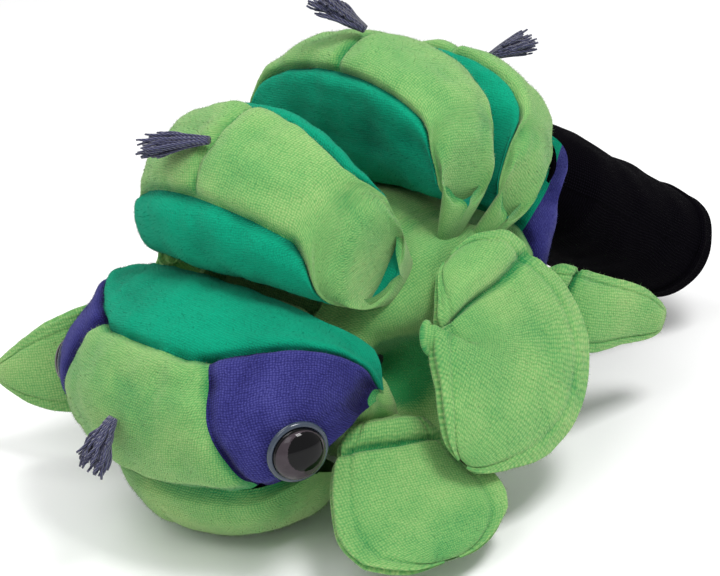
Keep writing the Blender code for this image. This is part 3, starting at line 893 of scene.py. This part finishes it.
def foot_relief(seed, crease):
    """Rolled seam round the edge, topstitching inside it, and a crease across where it droops."""
    def relief(turn, share, spot):
        away = share - crease - 0.03 * wrinkle(spot, 28, seed + 9)
        fold = CREASE_ROLL * hill(away + 0.075, 0.05) - CREASE_DEPTH * hill(away, 0.014)
        edge = abs(math.sin(turn))
        rim = 0.8 * hill(edge - 0.22, 0.12) - 1.0 * hill(edge, 0.06)
        stitch = -0.8 * hill(edge - 0.62, 0.05)
        return rim + stitch + fold * (0.4 + 0.6 * max(math.sin(turn), 0)) + cloth_folds(spot, seed, 0.7)
    return relief


CREASE_ROLL = 3.2
CREASE_DEPTH = 4.0
CREASE = 0.3      # share of the length at which a foot creases
CREASES = {"left_middle_foot": 0.36, "right_middle_foot": 0.36}
FOOT_PRESSURE = 4.0
FOOT_PUFF = 3.0      # the most that the simulation moves a foot's cloth


def foot_map(line, widths):
    """Where a place on a foot lies on its flat cloth."""
    length = sum((b - a).length for a, b in zip(line, line[1:]))

    def flat(turn, share):
        reach = (1 - math.cos(math.pi * share)) / 2
        return through(widths, reach) * math.cos(turn), length * reach
    return flat


for number, (node, shape) in enumerate(FEET.items()):
    relief = foot_relief(121 + 7 * number, CREASES.get(node, CREASE))
    foot = skin("look_" + node, foot_surface(*shape), between(0, 2 * math.pi, 0.02, 0.98), 150, 120, GREEN,
                relief, around=True, flat=foot_map(shape[0], shape[2]))
    puff(foot, FOOT_PRESSURE, FOOT_PUFF)
    settle(foot, node, "green_velour", node)
    FUZZY.append(foot)


# The yarn tufts

# Each tuft: its body, root, tip, droop and spread
TUFTS = {
    "nose_tuft": ("head", (3, -73, 65), (2, -84, 53), (0, -2, -3), 14),
    "hump_1_tuft": ("hump_1", (2, -13, 153), (-19, -24, 153), (-2, 0, -3), 11),
    "hump_2_tuft": ("body", (2, 68, 172.5), (-9, 58, 185), (-2, -2, 1), 12),
    "hump_3_tuft": ("hump_3", (0, 135, 142), (8, 148, 147), (0, 3, -1), 13),
}
STRAND_RADIUS = 0.6
STRANDS = 44


def strand_tube(path, radius, sides=6):
    """Points and faces of a tube along a path, tapering a little at its free end."""
    spots = []
    for i, spot in enumerate(path):
        along = (path[min(i + 1, len(path) - 1)] - path[max(i - 1, 0)]).normalized()
        side = along.orthogonal().normalized()
        up = along.cross(side)
        share = i / (len(path) - 1)
        size = radius * (1 - 0.35 * smooth(0.85, 1, share))
        for k in range(sides):
            turn = 2 * math.pi * k / sides
            spots.append(spot + (side * math.cos(turn) + up * math.sin(turn)) * size)
    faces = []
    for i in range(len(path) - 1):
        for k in range(sides):
            a, b = i * sides + k, i * sides + (k + 1) % sides
            faces.append((a, b, b + sides, a + sides))
    faces.append(tuple(range(sides))[::-1])
    faces.append(tuple((len(path) - 1) * sides + k for k in range(sides)))
    return spots, faces


def make_tuft(node, body, root, tip, droop, spread, seed):
    """A bunch of yarn strands that fans out from a root, each a little curled."""
    rng = random.Random(seed)
    root, tip, droop = Vector(root), Vector(tip), Vector(droop)
    reach = (tip - root).length
    along = (tip - root).normalized()
    side = along.cross(Vector((0, 0, 1))).normalized()
    up = side.cross(along)
    spots, faces, uvs = [], [], []
    for _ in range(STRANDS):
        turn = rng.uniform(0, 2 * math.pi)
        size = math.sqrt(rng.random())
        away = side * math.cos(turn) + up * math.sin(turn) * 0.7
        length = reach * rng.uniform(0.8, 1.12)
        phase = rng.uniform(0, 9)
        path = []
        for k in range(15):
            share = k / 14
            fan = (1.6 + (spread * 0.62 - 1.6) * share ** 1.1) * size
            curl = wrinkle(Vector((phase * 11, share * 16, seed)), 6) * 2.4 * share
            path.append(root + along * length * share + away * fan + side * curl + up * curl * 0.6
                        + droop * share * share)
        tube, sides = strand_tube(path, STRAND_RADIUS * rng.uniform(0.85, 1.15))
        base = len(spots)
        spots += tube
        faces += [tuple(base + index for index in face) for face in sides]
        uvs += [((index % 6) * 0.9, (index // 6) * length / 14) for index in range(len(tube))]
    tuft = make_object("look_" + node, spots, faces, uvs, NAVY)
    return settle(tuft, body, "navy_yarn", node)


for number, (node, (body, root, tip, droop, spread)) in enumerate(TUFTS.items()):
    make_tuft(node, body, root, tip, droop, spread, 131 + number)


# The eyes

EYE_SIDE = math.radians(71)
EYE_ANGLE = math.radians(191)
EYE_LIFT = 1.2
EYE_RIM = moulded("eye_rim", (0.035, 0.05, 0.075), 0.18)
EYE_DARK = moulded("eye_dark", (0.001, 0.001, 0.0015), 0.06, 0.2)
# the iris's grey-brown, partly its own colour and partly a painted reflection of the surroundings in the
# dome's lower part
EYE_IRIS_AND_REFLECTION = moulded("eye_iris_and_painted_reflection", (0.045, 0.035, 0.042), 0.08, 0.2)
PUPIL_RADIUS = 7.0
PUPIL_OFF = Vector((0, 1.1, 2.2))      # it looks up and back a little
DOME_RADIUS = 10.1
DOME_HEIGHT = 6.2
DARK_EDGE = 9.6      # the dome is dark outside this radius, where it meets the rim
RIM_PROFILE = ((0, 0), (10.2, 0.1), (11.5, 0.2), (11.9, 0.9), (11.4, 1.8), (10.6, 2.3), (9.9, 2.0), (9.6, 1.3),
               (0, 1.2))


def eye_place(sign):
    """The middle of an eye on its patch, and the way it faces."""
    spot = head_point(EYE_SIDE, EYE_ANGLE)
    normal = facing(head_point, EYE_SIDE, EYE_ANGLE, 0.05)
    if normal.x < 0:
        normal = -normal
    return Vector((sign * spot.x, spot.y, spot.z)), Vector((sign * normal.x, normal.y, normal.z))


def turned(name, profile, centre, axis, material, around=64):
    """A body of revolution from (radius, height) pairs, about an axis through a centre."""
    turn = Vector((0, 0, 1)).rotation_difference(axis).to_matrix()
    spots = []
    for k in range(around):
        angle = 2 * math.pi * k / around
        for radius, height in profile:
            spots.append(centre + turn @ Vector((radius * math.cos(angle), radius * math.sin(angle), height)))
    rows = len(profile)
    faces = grid_faces(around, rows, around=True)
    uvs = [(radius, height) for _ in range(around) for radius, height in profile]
    obj = make_object(name, spots, faces, uvs, material)
    clean = bmesh.new()
    clean.from_mesh(obj.data)
    bmesh.ops.remove_doubles(clean, verts=clean.verts, dist=1e-7)
    bmesh.ops.recalc_face_normals(clean, faces=clean.faces)
    clean.to_mesh(obj.data)
    clean.free()
    return obj


def dome(radius, height, low, rows):
    """Profile of a closed dome, from its flat underside's middle to its top."""
    rim = [(radius * math.cos(a), low + height * math.sin(a))
           for a in (math.pi / 2 * i / (rows - 1) for i in range(rows))]
    return [(0, low)] + rim[:-1] + [(0, low + height)]


def make_eye(word, sign):
    """A rim pressed into the patch, and a glossy dome whose faces take the iris's finish, which carries a
    painted reflection, or the pupil's.
    """
    centre, axis = eye_place(sign)
    centre += axis * EYE_LIFT
    rim = turned(f"look_{word}_eye_rim", RIM_PROFILE, centre, axis, EYE_RIM)
    profile = dome(DOME_RADIUS, DOME_HEIGHT, 1.9, 48)
    ball = turned(f"look_{word}_eye_dome", profile, centre, axis, EYE_IRIS_AND_REFLECTION, 128)
    ball.data.materials.append(EYE_DARK)
    pupil = centre + PUPIL_OFF
    for face in ball.data.polygons:
        away = face.center / MM + ORIGIN - pupil
        away -= axis * away.dot(axis)
        from_middle = face.center / MM + ORIGIN - centre
        from_middle -= axis * from_middle.dot(axis)
        face.material_index = int(away.length < PUPIL_RADIUS or from_middle.length > DARK_EDGE)
    for piece in (rim, ball):
        settle(piece, "head", "eye_plastic", f"{word}_eye")


for word, sign in (("left", 1), ("right", -1)):
    make_eye(word, sign)


# The neck: slack cloth that closes the head's back onto the body's front in soft rolls


def neck_point(turn, share):
    """From the body's front opening to the head's open back."""
    start = tube_point(BODY, turn, 0.03, BODY_FULLNESS)
    end = Vector((54 * rounded(math.cos(turn), 0.7), -8, 66 + 26 * rounded(math.sin(turn), 0.85)))
    spot = start.lerp(end, smooth(0, 1, share))
    sideways = abs(math.cos(turn)) ** 1.5
    roll = 9 * sideways * math.sin(math.pi * min(max(share * 1.25, 0), 1))
    spot.x += math.copysign(roll, math.cos(turn))
    return spot


def neck_relief(turn, share, spot):
    """Pleats that fade out at both seams."""
    pleats = 1.8 * math.sin(share * 14 + 3 * wrinkle(spot, 25, 143))
    return cloth_folds(spot, 141, 1.0) + pleats * smooth(0, 0.2, share) * (1 - smooth(0.8, 1, share))


neck = skin("look_neck", neck_point, whole_tube, 200, 60, GREEN, neck_relief,
            Vector((0, 3, 60)), around=True)
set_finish(neck, "green_velour")
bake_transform(neck)


# The pile: short fibres that stand out of the velour


def make_pile(panel, per_square, length, seed):
    """Thin fibres over a panel, coloured by the cloth under them."""
    rng = random.Random(seed)
    mesh = panel.data
    mesh.calc_loop_triangles()
    layer = mesh.uv_layers[0].data
    world = panel.matrix_world
    spots, faces, uvs, normals = [], [], [], []
    owed = 0.0
    for triangle in mesh.loop_triangles:
        owed += triangle.area * per_square
        while owed > rng.random():
            owed -= 1
            a, b = rng.random(), rng.random()
            if a + b > 1:
                a, b = 1 - a, 1 - b
            corners = [mesh.vertices[v].co for v in triangle.vertices]
            root = corners[0] + (corners[1] - corners[0]) * a + (corners[2] - corners[0]) * b
            map_at = layer[triangle.loops[0]].uv
            normal = triangle.normal
            lean = Vector((rng.gauss(0, 0.45), rng.gauss(0, 0.45), rng.gauss(-0.1, 0.45)))
            way = (normal + lean).normalized()
            any_way = Vector((rng.gauss(0, 1), rng.gauss(0, 1), rng.gauss(0, 1)))
            side = way.cross(any_way).normalized() * FIBRE_WIDTH
            tip = root + way * length * rng.uniform(0.6, 1.3)
            base = len(spots)
            spots += [world @ (root - side), world @ (root + side), world @ tip]
            faces.append((base, base + 1, base + 2))
            uvs += [tuple(map_at)] * 3
            normals += [normal] * 3
    fibres = bpy.data.meshes.new(panel.name + "_pile")
    fibres.from_pydata(spots, [], faces)
    fibres.update()
    uv_layer = fibres.uv_layers.new(name="UVMap")
    for loop in fibres.loops:
        uv_layer.data[loop.index].uv = uvs[loop.vertex_index]
    fibres.normals_split_custom_set_from_vertices(normals)
    fibres.materials.append(mesh.materials[0])
    obj = bpy.data.objects.new(panel.name + "_pile", fibres)
    bpy.context.scene.collection.objects.link(obj)
    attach(obj, panel["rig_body"])
    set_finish(obj, panel["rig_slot"])


FIBRE_WIDTH = 0.00006      # half the width at the root, in metres
FIBRES_PER_SQUARE_METRE = 700_000
FIBRE_LENGTH = 0.0010      # in metres
for number, panel in enumerate(FUZZY):
    make_pile(panel, FIBRES_PER_SQUARE_METRE, FIBRE_LENGTH, 200 + number)


# Hidden pieces keep their CAD shape and take their finish

HIDDEN = {"washer": moulded("washer_plastic", (0.8, 0.8, 0.78), 0.5),
          "board": moulded("mouth_board", (0.3, 0.26, 0.2), 0.8)}
for node, obj in frame["nodes"].items():
    for word, material in HIDDEN.items():
        if word in node:
            obj.data.materials.clear()
            obj.data.materials.append(material)


def make_filling(node, body):
    """Loose fibre inside a hump or the head, a little smaller than its solid and lumpy."""
    solid = frame["nodes"][node]
    mesh = solid.data.copy()
    filling = bpy.data.objects.new("look_" + node, mesh)
    bpy.context.scene.collection.objects.link(filling)
    clean = bmesh.new()
    clean.from_mesh(mesh)
    bmesh.ops.remove_doubles(clean, verts=clean.verts, dist=1e-6)
    clean.normal_update()
    for vertex in clean.verts:
        lump = 1.2 * wrinkle(vertex.co / MM, 12, 151)
        vertex.co -= vertex.normal * (FILLING_INSET + lump) * MM
    clean.to_mesh(mesh)
    clean.free()
    mesh.materials.clear()
    mesh.materials.append(FIBRE)
    settle(filling, body, "white_fibre", node)


FILLING_INSET = 4.5
for node, body in (("head_stuffing", "head"), ("hump_1_stuffing", "hump_1"), ("hump_2_stuffing", "body"),
                   ("hump_3_stuffing", "hump_3")):
    make_filling(node, body)


# Floor, lights and camera


def make_floor():
    mesh = bpy.data.meshes.new("floor")
    half = 3.0
    corners = [(-half, -half, 0), (half, -half, 0), (half, half, 0), (-half, half, 0)]
    mesh.from_pydata(corners, [], [(0, 1, 2, 3)])
    floor = bpy.data.objects.new("floor", mesh)
    paint = Nodes("floor_paint")
    paint.shader.inputs["Base Color"].default_value = (0.93, 0.93, 0.93, 1)
    paint.shader.inputs["Roughness"].default_value = 0.9
    mesh.materials.append(paint.made)
    bpy.context.scene.collection.objects.link(floor)


def make_light(name, place, size, power):
    """A white square light aimed at the puppet's middle."""
    data = bpy.data.lights.new(name, "AREA")
    data.size = size
    data.energy = power
    light = bpy.data.objects.new(name, data)
    light.location = place
    aim = Vector((0, 0, 0.08)) - Vector(place)
    light.rotation_euler = aim.to_track_quat("-Z", "Y").to_euler()
    bpy.context.scene.collection.objects.link(light)


def make_camera():
    """The photograph's own view, from a little above."""
    right = Vector((0.6820, 0.7253, -0.0942))
    up = Vector((-0.2260, 0.3315, 0.9160))
    back = Vector((0.6956, -0.6034, 0.3900))
    data = bpy.data.cameras.new("camera")
    data.sensor_width = 36
    data.lens = 119.25
    camera = bpy.data.objects.new("camera", data)
    camera.matrix_world = Matrix((
        (right.x, up.x, back.x, 0.65465),
        (right.y, up.y, back.y, -0.56912),
        (right.z, up.z, back.z, 0.43669),
        (0, 0, 0, 1),
    ))
    bpy.context.scene.collection.objects.link(camera)
    bpy.context.scene.camera = camera


def make_world():
    world = bpy.data.worlds.new("studio")
    world.use_nodes = True
    sky = world.node_tree.nodes["Background"]
    sky.inputs["Color"].default_value = (1, 1, 1, 1)
    sky.inputs["Strength"].default_value = 0.68
    bpy.context.scene.world = world


make_floor()
make_light("key", (0.6, 0.0, 1.1), 0.35, 9.5)
make_light("fill", (0.3, -0.8, 1.1), 0.6, 3.5)
make_light("top", (-0.5, -0.2, 1.0), 0.5, 3)
make_camera()
make_world()
bpy.context.scene.view_settings.view_transform = "Standard"
